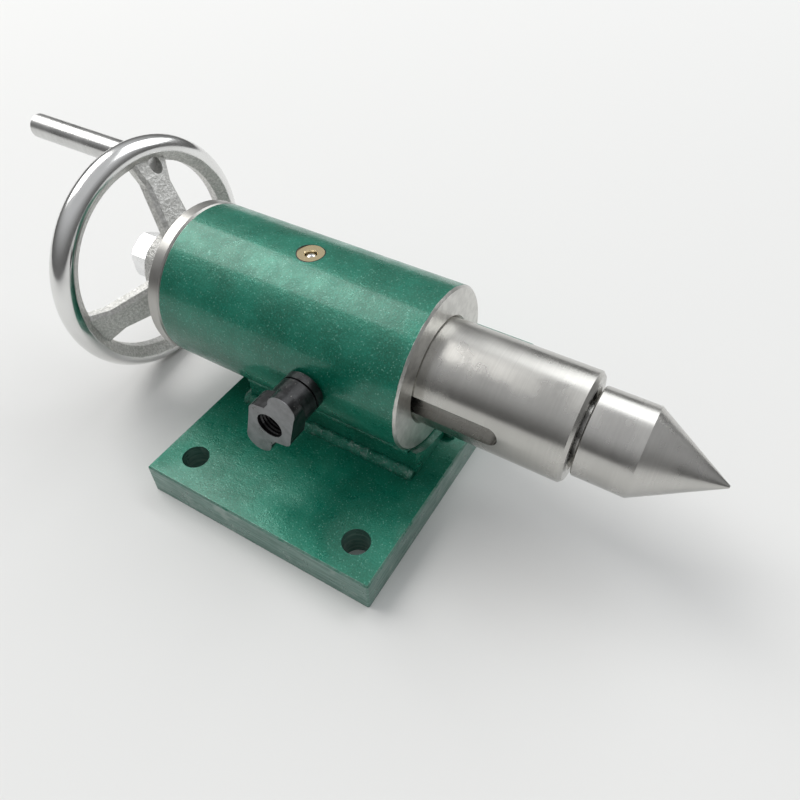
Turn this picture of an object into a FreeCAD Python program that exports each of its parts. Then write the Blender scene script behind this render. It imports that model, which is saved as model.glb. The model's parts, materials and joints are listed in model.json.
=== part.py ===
import FreeCAD, Part
import os
import Sketcher

# Lathe tailstock. X runs along the quill towards the point, -Y is the side with the clamp screw,
# Z is up. The origin is the centre of the base plate's underside. All sizes are millimetres.

os.makedirs("parts", exist_ok=True)
doc = FreeCAD.newDocument("tailstock")
V = FreeCAD.Vector
sheet = doc.addObject("Spreadsheet::Sheet", "sizes")

SIZES = {
    # housing
    "axis_height": 50.0,
    "plate_length": 100.0,
    "plate_width": 140.0,
    "plate_thickness": 14.0,
    "plate_chamfer": 0.6,
    "mount_spacing_long": 74.0,
    "mount_spacing_wide": 114.0,
    "mount_hole_dia": 10.5,
    "pedestal_length": 78.0,
    "pedestal_width": 43.0,
    "pedestal_shift": 1.5,
    "weld_leg": 3.5,
    "weld_rise": 4.5,
    "weld_end": 4.0,
    "weld_front_run": 20.0,
    "barrel_weld_radius": 1.6,
    "barrel_dia": 63.0,
    "barrel_length": 105.0,
    "barrel_front": 37.5,
    "barrel_chamfer": 0.8,
    "bore_dia": 40.0,
    "running_gap": 0.03,
    "seat_gap": 0.02,
    # rear cover and its screws
    "cap_thickness": 5.5,
    "cap_chamfer": 0.6,
    "bush_dia": 20.0,
    "cap_screw_circle": 51.5,
    "cap_screw_dia": 5.0,
    "cap_screw_head_dia": 9.2,
    "cap_screw_depth": 14.0,
    "hex_socket_width": 3.0,
    "hex_socket_depth": 1.8,
    # quill
    "quill_out": 54.5,
    "quill_length": 104.0,
    "quill_chamfer": 1.2,
    "keyway_width": 8.0,
    "keyway_depth": 4.0,
    "keyway_setback": 26.5,
    "keyway_run": 68.0,
    "quill_bore_dia": 20.0,
    # feed screw and its nut
    "screw_dia": 16.0,
    "screw_end": 10.0,
    "thread_gap": 0.05,
    "collar_dia": 26.0,
    "collar_width": 4.0,
    "journal_dia": 14.0,
    "stud_dia": 12.0,
    "stud_past_nut": 2.5,
    "nut_body_dia": 22.0,
    "nut_length": 24.0,
    "nut_flange_dia": 30.0,
    "nut_flange_width": 6.0,
    "grub_dia": 4.0,
    "grub_length": 4.4,
    # thrust bearing of the feed screw
    "thrust_dia": 26.0,
    "thrust_washer_width": 1.0,
    "thrust_cage_width": 2.0,
    "thrust_bore_gap": 0.3,
    "needle_dia": 1.9,
    "needle_length": 4.0,
    # handwheel
    "hub_gap": 1.0,
    "hub_dia": 30.0,
    "hub_length": 19.0,
    "rim_dia": 100.0,
    "rim_section": 10.4,
    "rim_offset": 8.2,
    "rim_inner_dia": 81.0,
    "rim_slope": 3.2,
    "spoke_set_back": 1.5,
    "spoke_waist_radius": 33.0,
    "spoke_width_waist": 12.5,
    "spoke_edge": 1.6,
    "spoke_width_hub": 16.0,
    "spoke_width_rim": 19.0,
    "spoke_depth": 7.0,
    "spoke_overlap": 4.0,
    "hub_chamfer": 1.2,
    "wheel_angle": 78.0,
    "key_width": 4.0,
    "key_height": 4.0,
    "key_length": 14.0,
    "washer_dia": 24.0,
    "washer_width": 2.0,
    "nut_across_flats": 18.0,
    "nut_height": 10.0,
    "nut_chamfer": 1.0,
    # crank handle
    "handle_radius": 39.5,
    "handle_angle": 75.5,
    "handle_boss_dia": 12.0,
    "handle_stud_length": 6.5,
    "handle_dia": 10.0,
    "handle_length": 59.0,
    "handle_chamfer": 0.8,
    "handle_stud_dia": 6.0,
    # live centre
    "centre_gap": 1.6,
    "centre_dia": 32.0,
    "centre_head_length": 18.4,
    "cone_half_angle": 30.0,
    "centre_chamfer": 0.5,
    "spindle_dia": 15.0,
    "spindle_boss_dia": 19.0,
    "spindle_tail": 3.0,
    "bearing_dia": 28.0,
    "bearing_width": 7.0,
    "bearing_spacer": 12.0,
    "bearing_inset": 4.5,
    "ball_dia": 3.6,
    "ring_wall": 2.1,
    "race_gap": 0.3,
    "bearing_pitch_radius": 10.75,
    "clip_play": 0.1,
    "circlip_split": 3.0,
    "tip_flat_dia": 1.0,
    "circlip_width": 1.2,
    "circlip_height": 1.6,
    "spacer_wall": 2.0,
    # clamp screw
    "lock_station": 1.5,
    "lock_thread_dia": 10.0,
    "lock_pad_dia": 7.9,
    "lock_pad_lift": 0.35,
    "lock_pad_top": 24.0,
    "lock_collar_dia": 15.6,
    "lock_collar_width": 3.2,
    "lock_collar_gap": 0.8,
    "lock_groove_width": 0.8,
    "lock_groove_depth": 0.9,
    "lock_thread_run": 1.0,
    "lock_hub_dia": 15.6,
    "lock_face": 52.2,
    "lock_head_depth": 8.5,
    "lock_head_edge": 2.0,
    "lock_lobe_dia": 10.6,
    "lock_lobe_x": 6.45,
    "lock_lobe_z": 10.94,
    "lock_corner_radius": 3.3,
    "lock_corner_x": 4.7,
    "lock_corner_z": 4.0,
    "lock_notch_x": 1.1,
    "lock_notch_z": 7.9,
    "lock_stud_grip": 2.5,
    "lock_tenon_dia": 6.0,
    "lock_tenon_length": 6.5,
    "lock_socket_dia": 10.2,
    "lock_socket_depth": 9.0,
    # ball oiler
    "oiler_station": -15.5,
    "oiler_dia": 10.0,
    "oiler_depth": 10.0,
    "oiler_sink": 0.3,
    "oiler_mouth_dia": 4.4,
    "oiler_lip": 1.2,
    "oiler_bore_dia": 5.6,
    "oiler_ball_dia": 5.0,
    "oiler_spring_dia": 4.6,
    "oiler_wire_dia": 0.5,
    "oiler_turns": 3.0,
    "oiler_spring_length": 4.2,
    "oiler_floor": 0.8,
    "oiler_flare_width": 0.3,
    "oiler_ball_play": 0.3,
    "oil_way_dia": 3.0,
}

for row, (alias, value) in enumerate(SIZES.items(), start=1):
    cell = "B%d" % row
    sheet.set("A%d" % row, alias)
    sheet.set(cell, str(value))
    sheet.setAlias(cell, alias)
doc.recompute()


def named(text):
    """Expression text in which every size alias points at the sheet."""
    words = []
    word = ""
    for letter in text + " ":
        if letter.isalnum() or letter == "_":
            word += letter
            continue
        words.append("sizes." + word if word in SIZES else word)
        words.append(letter)
        word = ""
    return "".join(words).strip()


# Stations along the quill axis, each an expression over the sheet.
BARREL_REAR = "(barrel_front - barrel_length)"
CAP_REAR = "(barrel_front - barrel_length - cap_thickness)"
HUB_FRONT = "(barrel_front - barrel_length - cap_thickness - hub_gap)"
HUB_REAR = "(barrel_front - barrel_length - cap_thickness - hub_gap - hub_length)"
NUT_FRONT = "(" + HUB_REAR + " - washer_width)"
NUT_REAR = "(" + HUB_REAR + " - washer_width - nut_height)"
RIM_CENTRE = "(" + HUB_REAR + " - rim_offset)"
COLLAR_REAR = "(barrel_front - barrel_length + 2 * thrust_washer_width + thrust_cage_width)"
QUILL_FRONT = "(barrel_front + quill_out)"
QUILL_REAR = "(barrel_front + quill_out - quill_length)"
KEYWAY_FRONT = "(barrel_front + quill_out - keyway_setback)"
KEYWAY_REAR = "(barrel_front + quill_out - keyway_setback - keyway_run)"
CLIP_FRONT = "(" + QUILL_FRONT + " - bearing_inset + circlip_width)"
BEARING_FRONT = "(" + QUILL_FRONT + " - bearing_inset)"
FRONT_BEARING = "(" + BEARING_FRONT + " - bearing_width)"
REAR_BEARING = "(" + BEARING_FRONT + " - 2 * bearing_width - bearing_spacer)"
SPACER_REAR = "(" + BEARING_FRONT + " - bearing_width - bearing_spacer)"
LOCK_COLLAR_BACK = "(barrel_dia / 2 + lock_collar_gap)"
OILER_TOP = "(axis_height + barrel_dia / 2 - oiler_sink)"
OILER_FOOT = "(axis_height + barrel_dia / 2 - oiler_sink - oiler_depth)"
BALL_DROP = ("sqrt((oiler_ball_dia / 2 + oiler_ball_play) * (oiler_ball_dia / 2 + oiler_ball_play)"
             " - oiler_mouth_dia * oiler_mouth_dia / 4)")
BALL_CENTRE = "(" + OILER_TOP + " - oiler_lip - " + BALL_DROP + ")"
BALLS = 9
HEAD_REAR = "(" + QUILL_FRONT + " + centre_gap)"
CONE_REAR = "(" + HEAD_REAR + " + centre_head_length)"
PLATE_TOP = "plate_thickness"

ALONG_X = FreeCAD.Rotation(V(0, 1, 0), 90)
ALONG_MINUS_Y = FreeCAD.Rotation(V(1, 0, 0), 90)
UPRIGHT = FreeCAD.Rotation()


def bind(obj, **expressions):
    for prop, text in expressions.items():
        obj.setExpression(prop, named(text))
    return obj


def place(obj, rotation, x="0", y="0", z="0"):
    obj.Placement = FreeCAD.Placement(V(0, 0, 0), rotation)
    for letter, text in (("x", x), ("y", y), ("z", z)):
        obj.setExpression("Placement.Base." + letter, named(text))
    return obj


def add(kind, name):
    return doc.addObject(kind, name)


def turned(name, radius, start, length):
    """Cylinder on the quill axis from station start towards +X."""
    obj = bind(add("Part::Cylinder", name), Radius=radius, Height=length)
    return place(obj, ALONG_X, x=start, z="axis_height")


def turned_cone(name, radius_start, radius_end, start, length):
    obj = add("Part::Cone", name)
    bind(obj, Radius1=radius_start, Radius2=radius_end, Height=length)
    return place(obj, ALONG_X, x=start, z="axis_height")


def upright(name, radius, height, x, y, z):
    obj = bind(add("Part::Cylinder", name), Radius=radius, Height=height)
    return place(obj, UPRIGHT, x, y, z)


def sideways(name, radius, start, length, x="lock_station", z="axis_height"):
    """Cylinder square to the quill axis, from y = -start towards -Y."""
    obj = bind(add("Part::Cylinder", name), Radius=radius, Height=length)
    return place(obj, ALONG_MINUS_Y, x, "0 - (" + start + ")", z)


def box(name, length, width, height, x, y, z):
    obj = bind(add("Part::Box", name), Length=length, Width=width, Height=height)
    return place(obj, UPRIGHT, x, y, z)


def fused(name, *pieces):
    obj = add("Part::MultiFuse", name)
    obj.Shapes = list(pieces)
    obj.Refine = True
    return obj


def cut(name, base, *tools):
    obj = add("Part::Cut", name)
    obj.Base = base
    obj.Tool = tools[0] if len(tools) == 1 else fused(name + "_tools", *tools)
    obj.Refine = True
    return obj


def common(name, *pieces):
    obj = add("Part::MultiCommon", name)
    obj.Shapes = list(pieces)
    obj.Refine = True
    return obj


def ring(name, outer, inner, start, length):
    return cut(name, turned(name + "_outside", outer, start, length),
               turned(name + "_bore", inner, start, length))


def chamfered(name, radius, start, length, chamfer):
    """Round bar along X with both ends chamfered."""
    inner = "(%s - %s)" % (radius, chamfer)
    rear = turned_cone(name + "_rear_edge", inner, radius, start, chamfer)
    middle = turned(name + "_middle", radius, "%s + %s" % (start, chamfer),
                    "%s - 2 * %s" % (length, chamfer))
    front = turned_cone(name + "_front_edge", radius, inner,
                        "%s + %s - %s" % (start, length, chamfer), chamfer)
    return fused(name, rear, middle, front)


NODES = {}


def keep(node, obj):
    obj.Label = node
    NODES[node] = obj
    return obj


# ---- sketches for the PartDesign bodies ----

def body_named(name):
    return doc.addObject("PartDesign::Body", name)


def origin_plane(body, role):
    for feature in body.Origin.OriginFeatures:
        if feature.Role == role:
            return feature
    raise ValueError(role)


def sketch_on(body, name, role):
    sketch = body.newObject("Sketcher::SketchObject", name)
    sketch.AttachmentSupport = (origin_plane(body, role), "")
    sketch.MapMode = "FlatFace"
    return sketch


def value(text):
    """Number that an expression over the sheet has now."""
    return float(sheet.evalExpression(named(text)))


def pin_point(sketch, geometry, vertex, across, along):
    """Fix one sketch vertex by two named offsets from the sketch's origin."""
    for kind, text in (("DistanceX", across), ("DistanceY", along)):
        index = sketch.addConstraint(Sketcher.Constraint(kind, -1, 1, geometry, vertex, value(text)))
        sketch.setExpression("Constraints[%d]" % index, named(text))



def pinned_outline(sketch, points):
    """Closed outline through named points.

    Each point is (across, along), and the side after it is straight. A third item, True, makes
    that side a half round instead, anticlockwise, whose two ends are level with each other.
    """
    corners = [V(value(point[0]), value(point[1]), 0) for point in points]
    count = len(points)
    for index, point in enumerate(points):
        start = corners[index]
        end = corners[(index + 1) % count]
        if len(point) == 2:
            sketch.addGeometry(Part.LineSegment(start, end), False)
        else:
            across = V(end.y - start.y, start.x - end.x, 0) / 2
            sketch.addGeometry(Part.Arc(start, (start + end) / 2 + across, end), False)
    for index in range(count):
        following = (index + 1) % count
        sketch.addConstraint(Sketcher.Constraint("Coincident", index, 2, following, 1))
    for index, point in enumerate(points):
        pin_point(sketch, index, 1, point[0], point[1])
        if len(point) == 3:
            level = Sketcher.Constraint("DistanceY", -1, 1, index, 3, value(point[1]))
            number = sketch.addConstraint(level)
            sketch.setExpression("Constraints[%d]" % number, named(point[1]))


def circle_in(sketch, across, along, radius):
    circle = Part.Circle(V(value(across), value(along), 0), V(0, 0, 1), value(radius))
    index = sketch.addGeometry(circle, False)
    pin_point(sketch, index, 3, across, along)
    number = sketch.addConstraint(Sketcher.Constraint("Radius", index, value(radius)))
    sketch.setExpression("Constraints[%d]" % number, named(radius))


def turned_body(name, outline):
    """Body made by turning one outline, drawn in the XZ plane, about the X axis."""
    body = body_named(name + "_body")
    section = sketch_on(body, name + "_section", "XZ_Plane")
    pinned_outline(section, outline)
    revolved = body.newObject("PartDesign::Revolution", name + "_turned")
    revolved.Profile = section
    revolved.ReferenceAxis = (section, ["H_Axis"])
    revolved.Angle = 360
    doc.recompute()
    return body


# ---- housing ----

def base_plate():
    body = body_named("base_plate_body")
    outline = sketch_on(body, "plate_outline", "XY_Plane")
    half_x = "plate_length / 2"
    half_y = "plate_width / 2"
    pinned_outline(outline, [("0 - " + half_x, "0 - " + half_y), (half_x, "0 - " + half_y),
                             (half_x, half_y), ("0 - " + half_x, half_y)])
    pad = body.newObject("PartDesign::Pad", "plate_pad")
    pad.Profile = outline
    bind(pad, Length="plate_thickness")
    doc.recompute()
    holes = sketch_on(body, "mount_holes", "XY_Plane")
    for sign_x in ("", "0 - "):
        for sign_y in ("", "0 - "):
            circle_in(holes, sign_x + "mount_spacing_long / 2", sign_y + "mount_spacing_wide / 2",
                      "mount_hole_dia / 2")
    pocket = body.newObject("PartDesign::Pocket", "mount_hole_cut")
    pocket.Profile = holes
    pocket.Type = "ThroughAll"
    pocket.Reversed = True
    doc.recompute()
    edges = body.newObject("PartDesign::Chamfer", "plate_edges")
    edges.Base = (pocket, plate_rim_edges(pocket.Shape))
    bind(edges, Size="plate_chamfer")
    body.Tip = edges
    return keep("base_plate", body)


def plate_rim_edges(shape):
    """Names of the straight edges round the plate's top and its four corners."""
    low = value("plate_thickness") * 0.4
    names = []
    for number, edge in enumerate(shape.Edges, start=1):
        straight = isinstance(edge.Curve, Part.Line)
        if straight and edge.CenterOfMass.z > low:
            names.append("Edge%d" % number)
    return names


def pedestal():
    """Block between plate and barrel, its top hollowed to the barrel's round."""
    block = box("pedestal_block", "pedestal_length", "pedestal_width", "axis_height - plate_thickness",
                "pedestal_shift - pedestal_length / 2", "0 - pedestal_width / 2", PLATE_TOP)
    saddle = turned("pedestal_saddle", "barrel_dia / 2", "0 - plate_length", "2 * plate_length")
    return keep("pedestal", cut("pedestal_cut", block, saddle))


def foot_run(name, outward, along, leg, length, x, y):
    """Triangular fillet weld at the pedestal's foot; the wall that it joins faces outward."""
    run = add("Part::Wedge", name)
    bind(run, Xmin="0", Xmax=leg, X2min="0", X2max="0", Ymin="0", Ymax="weld_rise",
         Zmin="0", Zmax=length, Z2min="0", Z2max=length)
    turn = FreeCAD.Rotation(outward, V(0, 0, 1), along, "XYZ")
    return place(run, turn, x, y, PLATE_TOP)


def foot_welds():
    """Fillet weld round the pedestal's foot, open at the near corner of its front face."""
    rear = "pedestal_shift - pedestal_length / 2"
    front = "pedestal_shift + pedestal_length / 2"
    near = "0 - pedestal_width / 2"
    far = "pedestal_width / 2"
    pieces = [
        foot_run("near_weld", V(0, -1, 0), V(-1, 0, 0), "weld_leg", "pedestal_length", front, near),
        foot_run("far_weld", V(0, 1, 0), V(1, 0, 0), "weld_leg", "pedestal_length", rear, far),
        foot_run("rear_weld", V(-1, 0, 0), V(0, 1, 0), "weld_end", "pedestal_width", rear, near),
        foot_run("front_weld", V(1, 0, 0), V(0, -1, 0), "weld_end", "weld_front_run", front, far)]
    for name, x, y in (("rear_near", rear, near), ("rear_far", rear, far), ("front_far", front, far)):
        corner = add("Part::Cone", "weld_corner_" + name)
        bind(corner, Radius1="weld_end", Radius2="0", Height="weld_rise")
        pieces.append(place(corner, UPRIGHT, x, y, PLATE_TOP))
    inside = box("weld_inside", "pedestal_length", "pedestal_width", "2 * weld_rise",
                 rear, near, PLATE_TOP)
    return keep("foot_welds", cut("foot_weld_ring", fused("foot_weld_solid", *pieces), inside))


def barrel_welds():
    """One bead along each side, in the notch between the pedestal's wall and the barrel."""
    beads = []
    notch = "axis_height - sqrt(barrel_dia * barrel_dia - pedestal_width * pedestal_width) / 2"
    for side, y in (("near", "0 - pedestal_width / 2"), ("far", "pedestal_width / 2")):
        bead = bind(add("Part::Cylinder", "barrel_bead_" + side), Radius="barrel_weld_radius",
                    Height="pedestal_length - 4")
        place(bead, ALONG_X, "pedestal_shift - pedestal_length / 2 + 1", y, notch)
        beads.append(bead)
    inside = box("bead_inside", "pedestal_length", "pedestal_width", "axis_height",
                 "pedestal_shift - pedestal_length / 2", "0 - pedestal_width / 2", PLATE_TOP)
    round_bar = turned("bead_barrel", "barrel_dia / 2", "0 - plate_length", "2 * plate_length")
    return keep("barrel_welds", cut("barrel_weld_cut", fused("barrel_beads", *beads), inside, round_bar))


def barrel():
    """Thick tube with the clamp screw's hole on the near side and the oiler's pocket on top."""
    tube = chamfered("barrel_tube", "barrel_dia / 2", BARREL_REAR, "barrel_length", "barrel_chamfer")
    bore = turned("barrel_bore", "bore_dia / 2", BARREL_REAR + " - 1", "barrel_length + 2")
    front_edge = turned_cone("bore_front_edge", "bore_dia / 2", "bore_dia / 2 + barrel_chamfer",
                             "barrel_front - barrel_chamfer", "barrel_chamfer")
    thread = sideways("lock_thread_hole", "lock_thread_dia / 2", "lock_pad_top - lock_thread_run",
                      "barrel_dia")
    pad_hole = sideways("lock_pad_hole", "keyway_width / 2", "0", "barrel_dia / 2")
    pocket = upright("oiler_pocket", "oiler_dia / 2 + seat_gap", "barrel_dia",
                     "oiler_station", "0", "axis_height + barrel_dia / 2 - oiler_sink - oiler_depth")
    oil_way = upright("oil_way", "oil_way_dia / 2", "barrel_dia / 2",
                      "oiler_station", "0", "axis_height")
    tools = [bore, front_edge, thread, pad_hole, pocket, oil_way]
    for number, (y, z) in enumerate(cap_screw_spots()):
        hole = bind(add("Part::Cylinder", "cap_tapping_%d" % number),
                    Radius="cap_screw_dia / 2 + seat_gap", Height="cap_screw_depth + 1")
        tools.append(place(hole, ALONG_X, BARREL_REAR + " - 0.5", y, z))
    return keep("barrel", cut("barrel_cut", tube, *tools))


# ---- rear cover ----

def cap_screw_spots():
    """Four screw positions on the cover's bolt circle, at 45 degrees to the upright."""
    arm = "cap_screw_circle * sqrt(0.125)"
    spots = []
    for sign_y in ("", "0 - "):
        for sign_z in ("+", "-"):
            spots.append((sign_y + arm, "axis_height " + sign_z + " " + arm))
    return spots


def end_cap():
    disc = chamfered("cap_disc", "barrel_dia / 2", CAP_REAR, "cap_thickness", "cap_chamfer")
    tools = [turned("cap_bore", "bush_dia / 2 + seat_gap", CAP_REAR + " - 1", "cap_thickness + 2")]
    for number, (y, z) in enumerate(cap_screw_spots()):
        hole = bind(add("Part::Cylinder", "cap_hole_%d" % number),
                    Radius="cap_screw_dia / 2 + 0.25", Height="cap_thickness + 2")
        tools.append(place(hole, ALONG_X, CAP_REAR + " - 1", y, z))
        sink = bind(add("Part::Cone", "cap_sink_%d" % number), Radius1="cap_screw_head_dia / 2 + 0.1",
                    Radius2="cap_screw_dia / 2 + 0.1",
                    Height="(cap_screw_head_dia - cap_screw_dia) / 2")
        tools.append(place(sink, ALONG_X, CAP_REAR, y, z))
    return keep("end_cap", cut("cap_cut", disc, *tools))


def cap_screws():
    """Four countersunk screws with hexagon sockets, one group."""
    screws = []
    head = "(cap_screw_head_dia - cap_screw_dia) / 2"
    for number, (y, z) in enumerate(cap_screw_spots()):
        name = "cap_screw_%d_" % number
        cone = bind(add("Part::Cone", name + "head"), Radius1="cap_screw_head_dia / 2",
                    Radius2="cap_screw_dia / 2", Height=head)
        place(cone, ALONG_X, CAP_REAR, y, z)
        shank = bind(add("Part::Cylinder", name + "shank"), Radius="cap_screw_dia / 2",
                     Height="cap_screw_depth + cap_thickness - 2 - " + head)
        place(shank, ALONG_X, CAP_REAR + " + " + head, y, z)
        socket = bind(add("Part::Prism", name + "socket"), Circumradius="hex_socket_width / sqrt(3)",
                      Height="hex_socket_depth")
        socket.Polygon = 6
        place(socket, ALONG_X, CAP_REAR, y, z)
        screws.append(cut(name + "cut", fused(name + "bar", cone, shank), socket))
    group = add("Part::Compound", "cap_screw_group")
    group.Links = screws
    return keep("cap_screws", group)


def cap_bush():
    return keep("cap_bush", ring("cap_bush_ring", "bush_dia / 2", "journal_dia / 2 + running_gap",
                                 CAP_REAR, "cap_thickness"))


# ---- quill ----

def quill():
    """Ground tube: keyway outside, nut seat behind, bearing seat in front."""
    outer = "bore_dia / 2 - running_gap"
    bar = chamfered("quill_bar", outer, QUILL_REAR, "quill_length", "quill_chamfer")
    through = turned("quill_through", "quill_bore_dia / 2", QUILL_REAR + " - 1", "quill_length + 2")
    nut_seat = turned("quill_nut_seat", "nut_body_dia / 2 + seat_gap", QUILL_REAR + " - 1",
                      "nut_length + 1")
    flange_seat = turned("quill_flange_seat", "nut_flange_dia / 2 + seat_gap", QUILL_REAR + " - 1",
                         "nut_flange_width + 1")
    bearing_seat = turned("quill_bearing_seat", "bearing_dia / 2 + seat_gap", REAR_BEARING,
                          "quill_length")
    relief = turned("quill_tail_relief", "bearing_dia / 2 - 2", REAR_BEARING + " - spindle_tail - 1",
                    "quill_length")
    groove = turned("quill_clip_groove", "bearing_dia / 2 + circlip_height / 2", BEARING_FRONT,
                    "circlip_width + 0.1")
    mouth = turned_cone("quill_mouth", "bearing_dia / 2", "bearing_dia / 2 + quill_chamfer",
                        QUILL_FRONT + " - quill_chamfer", "quill_chamfer")
    grub = upright("quill_grub_hole", "grub_dia / 2 + seat_gap", "bore_dia",
                   QUILL_REAR + " + nut_flange_width / 2", "0", "axis_height")
    floor = "bore_dia / 2 - running_gap - keyway_depth"
    slot = box("keyway_slot", "keyway_run", "bore_dia", "keyway_width",
               KEYWAY_REAR, "0 - (" + floor + ") - bore_dia", "axis_height - keyway_width / 2")
    rear_end = sideways("keyway_rear_end", "keyway_width / 2", floor, "bore_dia", KEYWAY_REAR)
    front_end = sideways("keyway_front_end", "keyway_width / 2", floor, "bore_dia", KEYWAY_FRONT)
    return keep("quill", cut("quill_cut", bar, through, nut_seat, flange_seat, bearing_seat, relief,
                             groove, mouth, grub, slot, rear_end, front_end))


def feed_nut():
    """Flanged bronze nut let into the quill's rear end."""
    sleeve = turned("nut_body", "nut_body_dia / 2", QUILL_REAR, "nut_length")
    flange = turned("nut_flange", "nut_flange_dia / 2", QUILL_REAR, "nut_flange_width")
    bore = turned("nut_bore", "screw_dia / 2 + thread_gap", QUILL_REAR + " - 1", "nut_length + 2")
    dimple = upright("nut_dimple", "grub_dia / 2 + seat_gap", "1 + seat_gap",
                     QUILL_REAR + " + nut_flange_width / 2", "0",
                     "axis_height + nut_flange_dia / 2 - 1 - seat_gap")
    return keep("feed_nut", cut("feed_nut_cut", fused("feed_nut_bar", sleeve, flange), bore, dimple))


def nut_grub_screw():
    """Set screw through the quill's wall that keeps the nut from turning."""
    x = QUILL_REAR + " + nut_flange_width / 2"
    foot = "axis_height + nut_flange_dia / 2 - 1"
    bar = upright("grub_bar", "grub_dia / 2", "grub_length", x, "0", foot)
    socket = bind(add("Part::Prism", "grub_socket"), Circumradius="1.15", Height="1.6")
    socket.Polygon = 6
    place(socket, UPRIGHT, x, "0", foot + " + grub_length - 1.6")
    return keep("nut_grub_screw", cut("grub_cut", bar, socket))


# ---- feed screw and its thrust bearing ----

def wheel_box(name, length, width, height, x, radius):
    """Box that stands on a radius from the quill axis, in the direction of the first spoke."""
    block = bind(add("Part::Box", name), Length=length, Width=width, Height=height)
    y = "(%s) * cos(wheel_angle) - (%s) / 2 * sin(wheel_angle)" % (radius, width)
    z = "axis_height + (%s) * sin(wheel_angle) + (%s) / 2 * cos(wheel_angle)" % (radius, width)
    # the width runs from one side to the other, so the corner is half a width off the radius
    place(block, FreeCAD.Rotation(V(1, 0, 0), value("wheel_angle") - 90), x, y, z)
    return block

def feed_screw():
    """Screw, thrust collar, journal, keyed wheel seat and threaded stud end in one bar."""
    thread = turned("screw_thread", "screw_dia / 2", COLLAR_REAR, "screw_end - " + COLLAR_REAR)
    nose = turned_cone("screw_nose", "screw_dia / 2", "screw_dia / 2 - 1", "screw_end", "1")
    collar = turned("screw_collar", "collar_dia / 2", COLLAR_REAR, "collar_width")
    journal = turned("screw_journal", "journal_dia / 2", HUB_REAR, COLLAR_REAR + " - " + HUB_REAR)
    stud = chamfered("screw_stud", "stud_dia / 2", NUT_REAR + " - stud_past_nut",
                     HUB_REAR + " - " + NUT_REAR + " + stud_past_nut + 2", "0.8")
    seat = wheel_box("screw_key_seat", "key_length", "key_width + 2 * seat_gap", "key_height",
                     HUB_REAR + " + 2", "journal_dia / 2 - key_height / 2 - seat_gap")
    bar = fused("screw_bar", thread, nose, collar, journal, stud)
    return keep("feed_screw", cut("feed_screw_cut", bar, seat))


def thrust_washers():
    """The rear washer rests on the cover and the front one turns with the collar."""
    front = BARREL_REAR + " + thrust_washer_width + thrust_cage_width"
    for node, start in (("thrust_washer_rear", BARREL_REAR), ("thrust_washer_front", front)):
        keep(node, ring(node + "_ring", "thrust_dia / 2", "journal_dia / 2 + thrust_bore_gap",
                        start, "thrust_washer_width"))


def thrust_needles():
    """Twelve rollers that lie like spokes round the journal."""
    pitch = "(thrust_dia / 4 + journal_dia / 4 + 0.15)"
    rollers = []
    for number in range(12):
        roller = bind(add("Part::Cylinder", "needle_%d" % number), Radius="needle_dia / 2",
                      Height="needle_length")
        angle = 30 * number
        turn = FreeCAD.Rotation(V(1, 0, 0), angle)
        x = BARREL_REAR + " + thrust_washer_width + thrust_cage_width / 2"
        reach = "(" + pitch + " - needle_length / 2)"
        place(roller, turn, x, "0 - %s * sin(%d)" % (reach, angle),
              "axis_height + %s * cos(%d)" % (reach, angle))
        rollers.append(roller)
    group = add("Part::Compound", "needle_group")
    group.Links = rollers
    return keep("thrust_needles", group)


def thrust_cage():
    """Flat cage with a window for each roller."""
    start = BARREL_REAR + " + thrust_washer_width + 0.3"
    plate = ring("cage_ring", "thrust_dia / 2 - 0.3", "journal_dia / 2 + 0.5", start,
                 "thrust_cage_width - 0.6")
    windows = []
    pitch = "(thrust_dia / 4 + journal_dia / 4 + 0.15)"
    for number in range(12):
        angle = 30 * number
        window = bind(add("Part::Cylinder", "cage_window_%d" % number),
                      Radius="needle_dia / 2 + 0.08", Height="needle_length + 0.3")
        turn = FreeCAD.Rotation(V(1, 0, 0), angle)
        x = BARREL_REAR + " + thrust_washer_width + thrust_cage_width / 2"
        reach = "(" + pitch + " - needle_length / 2 - 0.15)"
        place(window, turn, x, "0 - %s * sin(%d)" % (reach, angle),
              "axis_height + %s * cos(%d)" % (reach, angle))
        windows.append(window)
    return keep("thrust_cage", cut("cage_cut", plate, *windows))


# ---- handwheel ----

def flat_bar(sketch, middle, depth, width, edge):
    """Bar section with cut corners: depth runs across the sketch and width along it."""
    rear = "(%s) - (%s) / 2" % (middle, depth)
    front = "(%s) + (%s) / 2" % (middle, depth)
    half = "(%s) / 2" % width
    pinned_outline(sketch, [
        (rear + " + " + edge, "0 - " + half), (front + " - " + edge, "0 - " + half),
        (front, "0 - " + half + " + " + edge), (front, half + " - " + edge),
        (front + " - " + edge, half), (rear + " + " + edge, half),
        (rear, half + " - " + edge), (rear, "0 - " + half + " + " + edge)])


def handwheel():
    """Dished wheel: hub, three tapered spokes and a rim whose outside is turned round.

    The body's own origin is on the wheel's axis in the rim's middle plane.
    """
    half_rim = "rim_section / 2"
    half_land = "(rim_section / 2 - rim_slope)"
    crease = "(rim_dia / 2 - rim_section / 2)"
    body = turned_body("rim", [("0 - " + half_rim, crease), ("0 - " + half_land, "rim_inner_dia / 2"),
                               (half_land, "rim_inner_dia / 2"), (half_rim, crease, True)])
    add_spokes(body)
    add_hub(body)
    add_handle_boss(body)
    cut_hub_bore(body)
    turn = FreeCAD.Rotation(V(1, 0, 0), value("wheel_angle") - 90)
    place(body, turn, RIM_CENTRE, "0", "axis_height")
    return keep("handwheel", body)


def spoke_section(body, name, radius, middle, width):
    section = sketch_on(body, name, "XY_Plane")
    bind(section, **{"AttachmentOffset.Base.z": radius})
    flat_bar(section, middle, "spoke_depth", width, "spoke_edge")
    return section


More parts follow.
